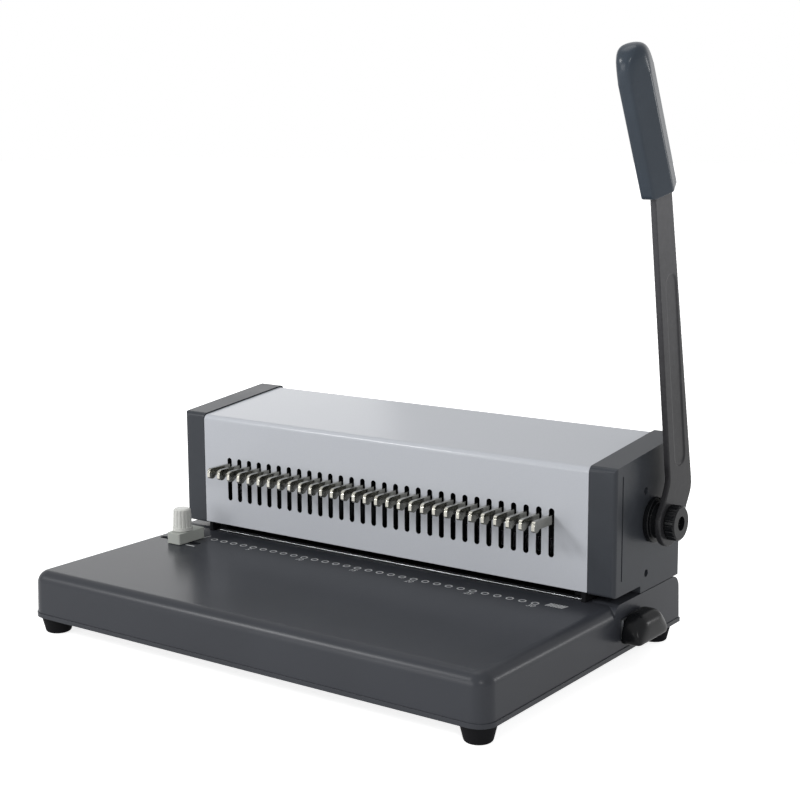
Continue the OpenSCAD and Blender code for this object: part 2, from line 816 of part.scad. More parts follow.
module shaft_bushes() {
    flange = 2;
    color("#B08D57") in_frame() both_sides() difference() {
        union() {
            rod_x(bush_d(), side_in - flange, side_out + 1, shaft_y, shaft_z);
            rod_x(bush_d() + 5, side_in - flange, side_in, shaft_y, shaft_z);
        }
        rod_x(shaft_d + 2 * run_gap, side_in - 5, side_out + 5, shaft_y, shaft_z);
    }
}

module main_shaft() {
    flat = shaft_d * 0.36;
    color("#A3A6AA") in_frame() {
        rod_x(shaft_d, -side_out - 3, arm_x, shaft_y, shaft_z);
        intersection() {
            rod_x(shaft_d, arm_x - eps, arm_out, shaft_y, shaft_z);
            box([arm_x - 1, shaft_y - flat, shaft_z - shaft_d],
                [arm_out + 1, shaft_y + flat, shaft_z + shaft_d]);
        }
        rod_x(stud_d, arm_out - eps, knob_face - 3.5, shaft_y, shaft_z);
    }
}

module drive_gears() {
    color("#8F9296") in_frame() for (x = [-1, 1])
        translate([x * gear_x, shaft_y, shaft_z]) rotate([90, 0, 90]) difference() {
            union() {
                translate([0, 0, -gear_w / 2]) linear_extrude(gear_w)
                    rotate(180) polygon(gear_points(gear_m, GEAR_TEETH));
                translate([0, 0, x > 0 ? -gear_w / 2 - hub_w : gear_w / 2 - eps])
                    cylinder(r = gear_r - 1.6 * gear_m, h = hub_w + eps);
            }
            cylinder(d = shaft_d + 2 * run_gap, h = 4 * gear_w, center = true);
        }
}

module shaft_collar() {
    flange = 3.5;
    color("#26272A") in_frame() difference() {
        union() {
            rod_x(30, cap_face + seat, cap_face + seat + flange, shaft_y, shaft_z);
            rod_x(24, cap_face + seat, arm_x, shaft_y, shaft_z);
        }
        rod_x(shaft_d + 2 * run_gap, cap_face, arm_x + 1, shaft_y, shaft_z);
    }
}

/* ---- lever: outlines are [y, z] from the shaft's axis ---- */

module at_shaft() {
    translate([0, shaft_y, shaft_z]) children();
}

// A point in the grip's own directions: w across it, h up it from its foot
function in_grip(w, h) = grip_seat + w * [cos(grip_lean), sin(grip_lean)]
    + h * [-sin(grip_lean), cos(grip_lean)];
shoulder_back = [-tang_w / 2, 3];
shoulder_front = [tang_w / 2 + 4.9, 0.5];

// The arm: a straight taper that hooks forward into its boss
module arm_outline() {
    root_r = boss_r - 0.4;
    top_back = in_grip(shoulder_back[0], shoulder_back[1]);
    top_front = in_grip(shoulder_front[0], shoulder_front[1]);
    polygon(rounded([concat(top_back, 0), concat(elbow_back, 10),
                     [-root_r * sin(45), root_r * cos(45), 0], [0, 0, 0],
                     [root_r * cos(29), -root_r * sin(29), 0], concat(elbow_front, 14),
                     concat(top_front, 0)]));
    circle(r = boss_r);
    // tang inside the grip
    translate(grip_seat) rotate(grip_lean)
        polygon(rounded([[-tang_w / 2, -2, 0], [tang_w / 2, -2, 0],
                         [tang_w / 2, tang_l, 4], [-tang_w / 2, tang_l, 4]]));
}

module lever_arm() {
    groove_w = 14.5;
    groove_d = 0.8;
    groove_low = elbow_back + [13.3, 16];
    groove_high = grip_seat + [15.6, -58.5];
    flat = shaft_d * 0.36 + run_gap;
    color("#58585B") in_frame() at_shaft() difference() {
        along_x(arm_x, arm_out) arm_outline();
        intersection() {
            rod_x(shaft_d + 2 * run_gap, arm_x - 1, arm_out + 1, 0, 0);
            box([arm_x - 2, -flat, -shaft_d], [arm_out + 2, flat, shaft_d]);
        }
        // long pressed groove on the outer face
        along_x(arm_out - groove_d, arm_out + 1) let (
                d = unit(groove_high - groove_low) * groove_w / 2, n = [-d[1], d[0]],
                r = groove_w / 2 - eps)
            polygon(rounded([concat(groove_low - d + n, r), concat(groove_low - d - n, r),
                             concat(groove_high + d - n, r), concat(groove_high + d + n, r)]));
    }
}

// A slab with its upper corners rounded, turned about the grip's length, its top tilted
module grip_end(turn, half) {
    tilt = 20;
    foot = -2 * grip_l;
    rotate([0, 0, turn]) translate([0, 0, grip_l + 1.5]) rotate([-tilt, 0, 0])
        along_y(-2 * grip_w, 2 * grip_w)
            polygon(rounded([[-half, foot, 0], [half, foot, 0], [half, 0, 6.4], [-half, 0, 6.4]]));
}

module lever_grip() {
    mid = (arm_x + arm_out) / 2;
    slope = 5.8;
    ridge_r = 3;
    skew = 2.2;
    end_skew = 3;
    mouth = 4;
    // the way that the sloping faces look, and their distance from the middle
    turn = atan2(slope, grip_w / 2);
    half = grip_t / 2 * cos(turn);
    color("#3B414B") in_frame() at_shaft()
        translate([mid, grip_seat[0], grip_seat[1]]) rotate([grip_lean, 0, 0]) difference() {
            intersection() {
                // six-sided section with a ridge along the middle of both sides
                translate([0, 0, -skew]) linear_extrude(grip_l + skew + 2 * end_skew)
                    polygon(rounded([[grip_t / 2, 0, ridge_r],
                                     [grip_t / 2 - slope, grip_w / 2, 2],
                                     [-grip_t / 2 + slope, grip_w / 2, 2],
                                     [-grip_t / 2, 0, ridge_r],
                                     [-grip_t / 2 + slope, -grip_w / 2, 2],
                                     [grip_t / 2 - slope, -grip_w / 2, 2]]));
                along_x(-grip_t, grip_t)
                    polygon(rounded([[-grip_w / 2, skew, 3], [grip_w / 2, -skew, 2],
                                     [grip_w / 2, grip_l - end_skew, 13.5],
                                     [-grip_w / 2, grip_l + end_skew, 14.5]]));
                grip_end(turn, half);
                grip_end(-turn, half);
            }
            // slot for the arm's tang and its shoulder
            along_x(-arm_t / 2 - tang_gap, arm_t / 2 + tang_gap) {
                polygon([[-tang_w / 2 - tang_gap, tang_l + tang_gap],
                         [tang_w / 2 + tang_gap, tang_l + tang_gap],
                         [tang_w / 2 + tang_gap, -mouth], [-tang_w / 2 - tang_gap, -mouth]]);
                polygon([[shoulder_back[0] - tang_gap, shoulder_back[1] + 2 * tang_gap],
                         [shoulder_front[0] + tang_gap, shoulder_front[1] + 2 * tang_gap],
                         [shoulder_front[0] + 3 * tang_gap, -mouth],
                         [shoulder_back[0] - 3 * tang_gap, -mouth]]);
            }
        }
}

module clamp_knob() {
    color("#2B2C2F") in_frame() at_shaft() difference() {
        translate([arm_out + seat, 0, 0]) rotate([0, 90, 0])
            fluted(knob_d, knob_d, knob_l - seat, 20, 2.2);
        rod_x(stud_d + 2 * run_gap, arm_out - 1, knob_face + 1, 0, 0);
        rod_x(9.4, knob_face - 3.5, knob_face + 1, 0, 0);
    }
}

/* ---- waste tray ---- */

module chip_tray() {
    y0 = punch_y - tray_w / 2;
    y1 = punch_y + tray_w / 2;
    color("#3A3B3E") in_frame() difference() {
        box([tray_left, y0, tray_z], [tray_right, y1, tray_z + tray_h]);
        box([tray_left + tray_t, y0 + tray_t, tray_z + tray_t],
            [base_mid + foot_shell_x - base_wall, y1 - tray_t, tray_z + tray_h + 1]);
    }
}

module tray_pull() {
    edge = 3;
    recess_w = 26;
    recess_h = 12;
    // the roundings start a little outside the sides, so that they meet them at an edge
    out = 0.4;
    color("#232427") in_frame() difference() {
        intersection() {
            along_x(pull_x, pull_x + pull_l) pull_outline();
            translate([0, 0, pull_z - 1]) linear_extrude(pull_h + 2)
                polygon(rounded([[pull_x - 1, punch_y - pull_half - out, 0],
                                 [pull_x + pull_l, punch_y - pull_half - out, edge],
                                 [pull_x + pull_l, punch_y + pull_half + out, edge],
                                 [pull_x - 1, punch_y + pull_half + out, 0]]));
            pull_brow(punch_y, 0, pull_arch + out);
            pull_brow(punch_y - pull_half + pull_arch, 45, pull_arch + out);
            pull_brow(punch_y + pull_half - pull_arch, -45, pull_arch + out);
        }
        // finger recess from below
        box([pull_x + 3, punch_y - recess_w / 2, pull_z - 1],
            [pull_x + pull_l - 3.5, punch_y + recess_w / 2, pull_z + recess_h]);
    }
}
// A low arch with a straight foot
module pull_outline() {
    polygon(rounded([[punch_y - pull_half, pull_z, 0], [punch_y + pull_half, pull_z, 0],
                     [punch_y + pull_half, pull_z + pull_h, pull_arch],
                     [punch_y - pull_half, pull_z + pull_h, pull_arch]]));
}
// The room under a large outer rounding, turned about the middle of the arch's bend at y
module pull_brow(y, turn, top) {
    foot = -2 * pull_w;
    translate([0, y, pull_z + pull_h - pull_arch]) rotate([turn, 0, 0])
        along_y(-pull_w, pull_w)
            polygon(rounded([[pull_x - 1, foot, 0], [pull_x + pull_l, foot, 0],
                             [pull_x + pull_l, top, 9], [pull_x - 1, top, 0]]));
}

module tray_runners() {
    web = 8;
    y0 = tray_w / 2 + seat;
    floor_z = rim_z + 1.6;
    color("#8D9094") in_frame() for (side = [-1, 1])
        along_x(tray_left, base_mid + foot_shell_x - tray_lining - seat)
            translate([punch_y, 0]) scale([side, 1])
                polygon([[y0 - runner_foot, floor_z], [y0 + runner_t, floor_z],
                         [y0 + runner_t, tray_z + web], [y0, tray_z + web], [y0, tray_z - seat],
                         [y0 - runner_foot, tray_z - seat]]);
}

/* ---- paper stop ---- */

module stop_block() {
    plate_w = 11;
    plate_h = 2;
    color("#BDBDB9") in_frame() translate([stop_x, stop_y, 0]) {
        translate([stop_off[0], stop_off[1], 0]) difference() {
            translate([0, 0, table_z + seat]) linear_extrude(stop_h)
                polygon(rounded([[-stop_w / 2, -stop_l / 2, 1.2], [stop_w / 2, -stop_l / 2, 1.2],
                                 [stop_w / 2, stop_l / 2, 1.2], [-stop_w / 2, stop_l / 2, 1.2]]));
            // chamfered front edge
            translate([-stop_w, -stop_l / 2, table_z + seat + stop_h - 1.5])
                rotate([45, 0, 0]) translate([0, -4, 0]) cube([2 * stop_w, 4, 4]);
        }
        // clamp bolt through the table, with its plate underneath
        translate([0, 0, table_z - deck_t - seat - plate_h])
            cylinder(d = stop_bolt_d, h = deck_t + 2 * seat + plate_h + stop_h + 10);
        translate([-plate_w / 2, -plate_w / 2, table_z - deck_t - seat - plate_h])
            cube([plate_w, plate_w, plate_h]);
    }
}

module stop_knob() {
    low = table_z + 2 * seat + stop_h;
    flange_h = 2.4;
    color("#C6CAC9") in_frame() translate([stop_x, stop_y, low]) difference() {
        union() {
            translate([0, 0, flange_h - 0.4])
                fluted(stop_knob_d + 1.2, stop_knob_d, stop_knob_h - flange_h + 0.4, 14, 1.6);
            cylinder(d = stop_knob_d + stop_flange, h = flange_h);
        }
        translate([0, 0, -1]) cylinder(d = stop_bolt_d + 2 * run_gap, h = 12);
    }
}

/* ---- margin dial and gauge ---- */

module back_gauge() {
    arm_w = 6;
    color("#A7AAAE") in_frame() {
        box([-arm_in, gauge_front, gauge_z], [arm_in, gauge_front + gauge_d, gauge_z + gauge_h]);
        box([-arm_in, gauge_front + 1, gauge_z],
            [-arm_in + arm_w, dial_y - 9, gauge_z + gauge_h - dial_m - 1.2 * dial_m]);
        translate([-arm_in, dial_y, rack_line]) rotate([90, 0, 90]) linear_extrude(arm_w)
            rack(dial_m, -9, 9, rack_line - gauge_z);
    }
}

module margin_dial() {
    pinion_w = 6;
    color("#2B2C2F") in_frame() translate([0, dial_y, dial_z]) {
        translate([-arm_in, 0, 0]) rotate([90, 0, 90]) linear_extrude(pinion_w)
            rotate(-90) polygon(gear_points(dial_m, DIAL_TEETH));
        rod_x(dial_shaft_d, -dial_face + 3, -arm_in + eps, 0, 0);
        translate([-cap_face - seat, 0, 0]) rotate([0, -90, 0]) fluted(dial_d, dial_d, dial_l, 18, 2);
    }
}

base_shell();
bottom_tray();
rubber_feet();
base_screws();
die_plate();
punch_guide();
side_plate_left();
side_plate_right();
cover();
end_cap_left();
end_cap_right();
cap_screws();
shaft_bushes();
guide_posts();
return_springs();
main_shaft();
drive_gears();
shaft_collar();
lever_arm();
lever_grip();
clamp_knob();
ram();
punches();
chip_tray();
tray_pull();
tray_runners();
stop_block();
stop_knob();
back_gauge();
margin_dial();
for (i = [1:HOLES])
    pull_pin(i);
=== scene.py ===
"""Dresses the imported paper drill: a desk machine whose side lever drives a row of
pull-pin punches through paper laid on its table."""

import math

import bmesh
import bpy
from bpy.props import FloatProperty, FloatVectorProperty, PointerProperty
from mathutils import Matrix, Vector


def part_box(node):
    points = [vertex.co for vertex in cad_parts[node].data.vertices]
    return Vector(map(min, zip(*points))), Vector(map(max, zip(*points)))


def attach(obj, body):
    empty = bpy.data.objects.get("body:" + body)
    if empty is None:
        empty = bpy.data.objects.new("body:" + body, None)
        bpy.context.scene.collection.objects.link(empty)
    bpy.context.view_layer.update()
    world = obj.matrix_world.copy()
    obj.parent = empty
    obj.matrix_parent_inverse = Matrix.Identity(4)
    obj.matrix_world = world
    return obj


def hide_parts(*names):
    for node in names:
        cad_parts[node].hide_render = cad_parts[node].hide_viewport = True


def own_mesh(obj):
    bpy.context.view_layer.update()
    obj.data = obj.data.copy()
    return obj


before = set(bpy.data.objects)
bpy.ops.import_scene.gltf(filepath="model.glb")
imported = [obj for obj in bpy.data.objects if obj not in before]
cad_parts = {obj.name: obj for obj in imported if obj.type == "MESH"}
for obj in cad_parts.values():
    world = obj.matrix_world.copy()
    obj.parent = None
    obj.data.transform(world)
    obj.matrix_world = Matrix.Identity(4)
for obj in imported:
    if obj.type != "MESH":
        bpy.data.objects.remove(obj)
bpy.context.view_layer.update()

bl_info = {
    "name": "Paper drill",
    "version": (1, 0, 0),
    "blender": (4, 5, 0),
    "location": "View3D > Sidebar > Paper drill",
    "description": "Finishes and fine pieces of a row punch with a side lever",
    "category": "Object",
}

MM = 0.001

# The solids' own sizes, as their source has them
GRIP_LEAN = math.radians(26)
DIE_PROUD = 2 * MM  # how far the die plate stands above the table
PINS = sorted(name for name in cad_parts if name.startswith("pull_pin_"))

# Where the walls of the cover's slots are looked for
SLOTS_LOW = 66 * MM  # above this height
SLOTS_BELOW_TOP = 30 * MM  # at least this far below the cover's top
SLOTS_HALF = 155 * MM  # within this distance of the middle
SLOTS_IN = (0.1 * MM, 4 * MM)  # between these depths behind the front face
SLOTS_FACING = 0.7  # less than this of their normals points forwards or back

# Angles and a distance that tell edges apart
SHARP_FROM = math.radians(40)  # edges shaded sharp
EASED_FROM = math.radians(35)  # edges rounded
FLAT_WITHIN = math.radians(0.3)  # triangles joined again to one flat face
JOINED_WITHIN = 0.001 * MM  # points joined again to one

# How the end of a moulded piece is smoothed into a dome: in turns, from these shares of the
# dome's depth, so that no ridge is left where the smoothing ends
DOME_TURNS = (1.0, 0.9, 1.1, 0.8, 1.2, 1.4)

# The printed marks. The rings stand a little to the left of their pins
RING_SHIFT = 1.1 * MM
RING_Y = 11.75 * MM
RING_STEPS = 28
NUMBER_EVERY = 5
NUMBER_DROP = 6 * MM
FIGURE_SHARE = 0.72  # height of a figure as a share of the font's size
FIGURE_SLANT = 0.25

# Printed strokes: middle x and y, width, depth, and lean to the right, in millimetres
STROKES = [(139.5 + 1.9 * i, 14.6, 1.15, 6.3, 1.5) for i in range(7)] + [
    (-148.0, -10.4, 8.5, 1.5, 0.0),
    (-154.2, 14.4, 0.8, 8.0, 1.0),
]

# The camera: place, turns in radians, and lens and sensor in millimetres
CAMERA_AT = Vector((627.306, -824.136, 345.551)) * MM
YAW, PITCH, ROLL = -0.624, -0.173, -0.005
LENS, SENSOR = 70.8065, 36

# The lamps: name, place, point aimed at, width and height in metres, and watts
LAMPS = (
    ("back", (-1.75, 1.47, 0.80), (-0.1, 0, 0.08), 1.0, 0.55, 2),
    ("above", (-0.6, 0.4, 2.4), (0, 0, 0.1), 1.4, 1.0, 9),
    ("front", (-0.9, -2.6, 0.5), (0, 0, 0.08), 1.6, 0.8, 20),
    ("top", (-1.4, -1.5, 1.3), (0, 0, 0.1), 0.4, 0.4, 20),
    ("rim", (1.5, 1.7, 0.35), (0.2, 0, 0.3), 0.3, 0.3, 5),
    ("right", (1.7, -1.7, 1.15), (0, 0, 0.15), 0.35, 0.35, 12),
)

# Strength of the world's light on the piece, and of the white that the eye sees
AMBIENT = 0.45
WHITE = 1.0

# The floor: half its side, and the glow that turns it white, from the first distance in
# metres, where it has the first strength, to the second
FLOOR_HALF = 12
GLOW_FROM, GLOW_TO = 0.25, 0.75
GLOW_NEAR, GLOW_FAR = 0.8, 1.0

# Sockets of a Mix node that mixes colours
FACTOR, FIRST, SECOND, RESULT = 0, 6, 7, 2

# The part of a noise's range that most of its values lie in
MIDDLE = {"From Min": 0.3, "From Max": 0.7}


def srgb(code):
    """The linear colour, with alpha, of a #RRGGBB code."""
    parts = [int(code[i : i + 2], 16) / 255 for i in (1, 3, 5)]
    return [c / 12.92 if c <= 0.04045 else ((c + 0.055) / 1.055) ** 2.4 for c in parts] + [1.0]


# ---------------------------------------------------------------- settings


def length(label, text, value, low, high):
    """A length that is set in the sidebar, given here in millimetres."""
    return FloatProperty(
        name=label, description=text, default=value * MM, min=low * MM, max=high * MM,
        unit="LENGTH", precision=5,
    )


def colour(label, text, code):
    """A colour that is set in the sidebar."""
    return FloatVectorProperty(
        name=label, description=text, default=srgb(code), size=4, subtype="COLOR", min=0, max=1
    )


class PaperDrillSizes(bpy.types.PropertyGroup):
    """Sizes of the fine work that the solids leave out."""

    sheet_edge: length("Base edge", "Rounding of the base's coated sheet", 0.35, 0.1, 1)
    rim_edge: length("Rim edge", "Rounding of the bottom tray's thin rim", 0.15, 0.05, 0.5)
    cover_edge: length("Cover edge", "Rounding of the cover's sheet", 0.3, 0.1, 1)
    moulded_edge: length("Moulded edge", "Rounding of caps and collar", 0.5, 0.1, 1.5)
    die_edge: length("Die edge", "Ground bevel of the die plate", 0.6, 0.2, 1)
    pin_edge: length("Pin edge", "Tumbled edge of a pull pin", 0.4, 0.1, 0.8)
    clamp_edge: length("Clamp edge", "Rounding of the clamp knob's flutes", 0.3, 0.1, 0.8)
    tray_edge: length("Tray edge", "Rounding of the chip tray's sheet", 0.2, 0.05, 0.5)
    block_edge: length("Block edge", "Rounding of the stop's cast block", 0.4, 0.1, 1)
    rib_edge: length("Rib edge", "Rounding of the stop knob's ribs", 0.15, 0.05, 0.5)
    arm_cell: length("Arm cell", "Cell that the arm's soft edges are cast in", 0.55, 0.4, 1)
    grip_cell: length("Grip cell", "Cell that the grip's soft edges are cast in", 0.5, 0.4, 1)
    pull_cell: length("Pull cell", "Cell that the pull's soft edges are cast in", 0.6, 0.4, 1)
    grip_dome: length("Grip dome", "Depth of the grip's domed end", 13, 5, 16)
    pull_dome: length("Pull dome", "Depth of the tray pull's domed end", 12, 4, 13)
    ink: length("Ink", "Thickness of the printed marks", 0.03, 0.01, 0.1)
    ring: length("Ring", "Outer diameter of a printed ring", 5.4, 4, 8)
    stroke: length("Stroke", "Width of a printed line", 0.9, 0.3, 1.5)
    numeral: length("Numeral", "Height of the printed numbers", 4.2, 2, 6)


class PaperDrillColours(bpy.types.PropertyGroup):
    """Colours of the visible finishes."""

    base: colour("Base", "Powder coat of the base", "#34363B")
    cover: colour("Cover", "Silver grey coat of the cover", "#B3B6BC")
    caps: colour("End caps", "Moulded end caps", "#373A3F")
    arm: colour("Arm", "Coat of the lever arm", "#444447")
    grip: colour("Grip", "Soft sleeve of the grip", "#363E47")
    trim: colour("Trim", "Knob, collar and tray pull", "#131416")
    knob: colour("Stop knob", "Light knob of the paper stop", "#C4C5C1")
    block: colour("Stop block", "Cast block of the paper stop", "#A2A5A0")
    ink: colour("Ink", "Printed marks on the table", "#BFC1C2")


def sizes():
    """The sizes as the sidebar has them."""
    return bpy.context.scene.paper_drill_sizes


def colours():
    """The colours as the sidebar has them."""
    return bpy.context.scene.paper_drill_colours


# ---------------------------------------------------------------- materials


def add(tree, kind, inputs=None, **settings):
    """Adds one node with its settings; an input is a value or another node's output."""
    node = tree.nodes.new(kind)
    for key, value in settings.items():
        setattr(node, key, value)
    for key, value in (inputs or {}).items():
        if isinstance(value, bpy.types.NodeSocket):
            tree.links.new(value, node.inputs[key])
        else:
            node.inputs[key].default_value = value
    return node


def start(name, **sockets):
    """A new material with a Principled shader and object coordinates in metres."""
    mat = bpy.data.materials.new(name)
    mat.use_nodes = True
    tree = mat.node_tree
    tree.nodes.clear()
    shader = add(tree, "ShaderNodeBsdfPrincipled", sockets)
    add(tree, "ShaderNodeOutputMaterial", {"Surface": shader.outputs[0]})
    where = add(tree, "ShaderNodeTexCoord").outputs["Object"]
    return mat, tree, shader, where


def film(weight, rough):
    """Sockets of a paint or a plastic: a dull body under a thin glossy skin."""
    return {"Specular IOR Level": 0.02, "Coat Weight": weight, "Coat Roughness": rough}


def patterned(tree, shader, toned, rough=None, bump=None):
    """Gives the shader its patterns of colour, roughness and relief."""
    tree.links.new(toned.outputs[RESULT], shader.inputs["Base Color"])
    if rough:
        tree.links.new(rough.outputs[0], shader.inputs["Roughness"])
    if bump:
        for socket in ("Normal", "Coat Normal"):
            tree.links.new(bump.outputs[0], shader.inputs[socket])


def clear_sight(tree):
    """1 for a ray that comes from the camera, a gloss or a clear piece, 0 for the rest."""
    path = add(tree, "ShaderNodeLightPath").outputs
    clear = add(tree, "ShaderNodeMath", {0: path["Is Camera Ray"], 1: path["Is Glossy Ray"]},
                operation="MAXIMUM")
    return add(tree, "ShaderNodeMath", {0: clear.outputs[0], 1: path["Is Transmission Ray"]},
               operation="MAXIMUM").outputs[0]


def shade(code, k):
    """A colour k times as light."""
    return [min(1, c * k) for c in code[:3]] + [1.0]


def powder_coat():
    # Polyester powder baked on sheet steel: the powder melts into a faint orange peel,
    # about 1.5 mm across, so the satin reflection breaks up softly and never mirrors.
    base = list(colours().base)
    mat, tree, shader, where = start("charcoal powder coat", **film(0.32, 0.34))
    peel = add(tree, "ShaderNodeTexNoise", {"Vector": where, "Scale": 1 / (1.5 * MM),
                                            "Detail": 2})
    grit = add(tree, "ShaderNodeTexNoise", {"Vector": where, "Scale": 1 / (0.4 * MM),
                                            "Detail": 1})
    drift = add(tree, "ShaderNodeTexNoise", {"Vector": where, "Scale": 1 / (90 * MM),
                                             "Detail": 2})
    both = add(tree, "ShaderNodeMath", {0: peel.outputs[0], 1: grit.outputs[0]},
               operation="ADD")
    bump = add(tree, "ShaderNodeBump", {"Height": both.outputs[0], "Strength": 0.03,
                                        "Distance": 0.2 * MM})
    even = add(tree, "ShaderNodeMapRange", {"Value": drift.outputs[0], **MIDDLE})
    toned = add(tree, "ShaderNodeMix", {FACTOR: even.outputs[0], FIRST: shade(base, 0.92),
                                        SECOND: shade(base, 1.08)}, data_type="RGBA")
    rough = add(tree, "ShaderNodeMapRange", {"Value": peel.outputs[0], **MIDDLE,
                                             "To Min": 0.19, "To Max": 0.25})
    patterned(tree, shader, toned, rough, bump)
    return mat


def silver_grey_coat():
    # Metallic grey stoving paint on folded sheet: fine aluminium flake lies in the film, drawn
    # 0.4 mm across so that it shows, and the surface over it stays smooth and satin.
    base = list(colours().cover)
    mat, tree, shader, where = start("silver grey stoving paint", **film(0.3, 0.18))
    flake = add(tree, "ShaderNodeTexVoronoi", {"Vector": where, "Scale": 1 / (0.4 * MM)})
    drift = add(tree, "ShaderNodeTexNoise", {"Vector": where, "Scale": 1 / (120 * MM),
                                             "Detail": 1})
    peel = add(tree, "ShaderNodeTexNoise", {"Vector": where, "Scale": 1 / (2 * MM),
                                            "Detail": 1})
    both = add(tree, "ShaderNodeMath", {0: flake.outputs["Color"], 1: drift.outputs[0]},
               operation="ADD")
    speck = add(tree, "ShaderNodeMapRange", {"Value": both.outputs[0], "From Max": 2.0})
    toned = add(tree, "ShaderNodeMix", {FACTOR: speck.outputs[0], FIRST: shade(base, 0.95),
                                        SECOND: shade(base, 1.05)}, data_type="RGBA")
    rough = add(tree, "ShaderNodeMapRange", {"Value": peel.outputs[0], **MIDDLE,
                                             "To Min": 0.19, "To Max": 0.24})
    bump = add(tree, "ShaderNodeBump", {"Height": peel.outputs[0], "Strength": 0.05,
                                        "Distance": 0.1 * MM})
    patterned(tree, shader, toned, rough, bump)
    return mat


def moulded(name, code, grain, strength, rough, gloss=0.3):
    """A moulded plastic, or a dull skin like it, with a grain of that size in metres."""
    mat, tree, shader, where = start(name, **film(gloss, rough))
    cells = add(tree, "ShaderNodeTexVoronoi", {"Vector": where, "Scale": 1 / grain,
                                               "Randomness": 1}, feature="SMOOTH_F1")
    cloud = add(tree, "ShaderNodeTexNoise", {"Vector": where, "Scale": 1 / (30 * MM),
                                             "Detail": 3})
    even = add(tree, "ShaderNodeMapRange", {"Value": cloud.outputs[0], **MIDDLE})
    toned = add(tree, "ShaderNodeMix", {FACTOR: even.outputs[0], FIRST: shade(code, 0.92),
                                        SECOND: shade(code, 1.08)}, data_type="RGBA")
    worn = add(tree, "ShaderNodeMapRange", {"Value": cloud.outputs[0], **MIDDLE,
                                            "To Min": rough - 0.04, "To Max": rough + 0.05})
    bump = add(tree, "ShaderNodeBump", {"Height": cells.outputs[0], "Strength": strength,
                                        "Distance": grain * 0.2})
    patterned(tree, shader, toned, worn, bump)
    return mat


def cap_plastic():
    # ABS moulded in a spark-eroded tool: an even fine grain that keeps the reflection soft.
    return moulded("spark textured ABS", list(colours().caps), 0.7 * MM, 0.1, 0.32, 0.25)


def black_nylon():
    # Glass-filled nylon, moulded smooth: dark, with a dull sheen on every rounded edge.
    return moulded("smooth black nylon", list(colours().trim), 0.5 * MM, 0.06, 0.26, 0.25)


def grip_sleeve():
    # Thermoplastic rubber sleeve: smooth from the tool, with a low waxy gloss.
    return moulded("moulded TPR sleeve", list(colours().grip), 0.5 * MM, 0.03, 0.24, 0.33)


def knob_plastic():
    # Light grey ABS, polished tool: a clear soft highlight down each rib.
    return moulded("light grey ABS", list(colours().knob), 0.6 * MM, 0.04, 0.25, 0.4)


def foot_rubber():
    # Moulded nitrile rubber: matt, slightly grey with mould bloom.
    return moulded("black nitrile rubber", srgb("#18181A"), 0.4 * MM, 0.3, 0.7, 0.05)


def cast_block():
    # Zinc die casting, bead blasted: pale, even, without a direction.
    return moulded("bead blasted zinc casting", list(colours().block), 0.4 * MM, 0.25, 0.5)


def cut_edge():
    # Near-black painted shade for the walls of the cover's slots, so the slots look as dark as
    # their shaded inside.
    return moulded("painted shade in the slots", srgb("#17181A"), 0.4 * MM, 0.3, 0.7, 0.1)


def phosphate():
    # Manganese phosphating on the punch's steel: fine dull crystals that hold the oil. Its
    # near-black colour is also painted shade, so that the ram, the guide and the plates inside
    # the cover look as dark as the shade there.
    return moulded("phosphated steel darkened as shade", srgb("#17181A"), 0.3 * MM, 0.2, 0.6, 0.05)


def arm_coat():
    # Epoxy powder over hot-rolled bar: the scale under it leaves a low uneven surface. The
    # colour is painted shade low on the arm and painted light towards the grip, by height.
    base = list(colours().arm)
    mat, tree, shader, where = start("dark grey epoxy coat", Roughness=0.42,
                                     **film(0.25, 0.3))
    roll = add(tree, "ShaderNodeTexNoise", {"Vector": where, "Scale": 1 / (4 * MM),
                                            "Detail": 3})
    fine = add(tree, "ShaderNodeTexNoise", {"Vector": where, "Scale": 1 / (0.6 * MM),
                                            "Detail": 1})
    both = add(tree, "ShaderNodeMath", {0: roll.outputs[0], 1: fine.outputs[0]},
               operation="ADD")
    place = add(tree, "ShaderNodeSeparateXYZ", {"Vector": where})
    # Painted light and shade by height: 0.4 of the colour near the hub up to 1.25 near the grip
    height = add(tree, "ShaderNodeMapRange", {"Value": place.outputs["Z"],
                                              "From Min": 160 * MM, "From Max": 330 * MM})
    even = add(tree, "ShaderNodeMapRange", {"Value": roll.outputs[0], **MIDDLE,
                                            "To Min": -0.1, "To Max": 0.1})
    level = add(tree, "ShaderNodeMath", {0: height.outputs[0], 1: even.outputs[0]},
                operation="ADD", use_clamp=True)
    toned = add(tree, "ShaderNodeMix", {FACTOR: level.outputs[0], FIRST: shade(base, 0.4),
                                        SECOND: shade(base, 1.25)}, data_type="RGBA")
    bump = add(tree, "ShaderNodeBump", {"Height": both.outputs[0], "Strength": 0.1,
                                        "Distance": 0.3 * MM})
    patterned(tree, shader, toned, bump=bump)
    return mat


def metal(name, code, rough, along=(1, 1, 1), grain=0.3 * MM, strength=0.1):
    """A bare metal; along stretches its grinding lines along an axis."""
    mat, tree, shader, where = start(name, Metallic=1.0)
    place = add(tree, "ShaderNodeMapping", {"Vector": where, "Scale": along})
    lines = add(tree, "ShaderNodeTexNoise", {"Vector": place.outputs[0], "Scale": 1 / grain,
                                             "Detail": 3})
    cloud = add(tree, "ShaderNodeTexNoise", {"Vector": where, "Scale": 1 / (20 * MM),
                                             "Detail": 2})
    even = add(tree, "ShaderNodeMapRange", {"Value": cloud.outputs[0], **MIDDLE})
    toned = add(tree, "ShaderNodeMix", {FACTOR: even.outputs[0], FIRST: shade(code, 0.9),
                                        SECOND: shade(code, 1.08)}, data_type="RGBA")
    worn = add(tree, "ShaderNodeMapRange", {"Value": lines.outputs[0], **MIDDLE,
                                            "To Min": rough - 0.06, "To Max": rough + 0.06})
    bump = add(tree, "ShaderNodeBump", {"Height": lines.outputs[0], "Strength": strength,
                                        "Distance": grain * 0.3})
    patterned(tree, shader, toned, worn, bump)
    return mat


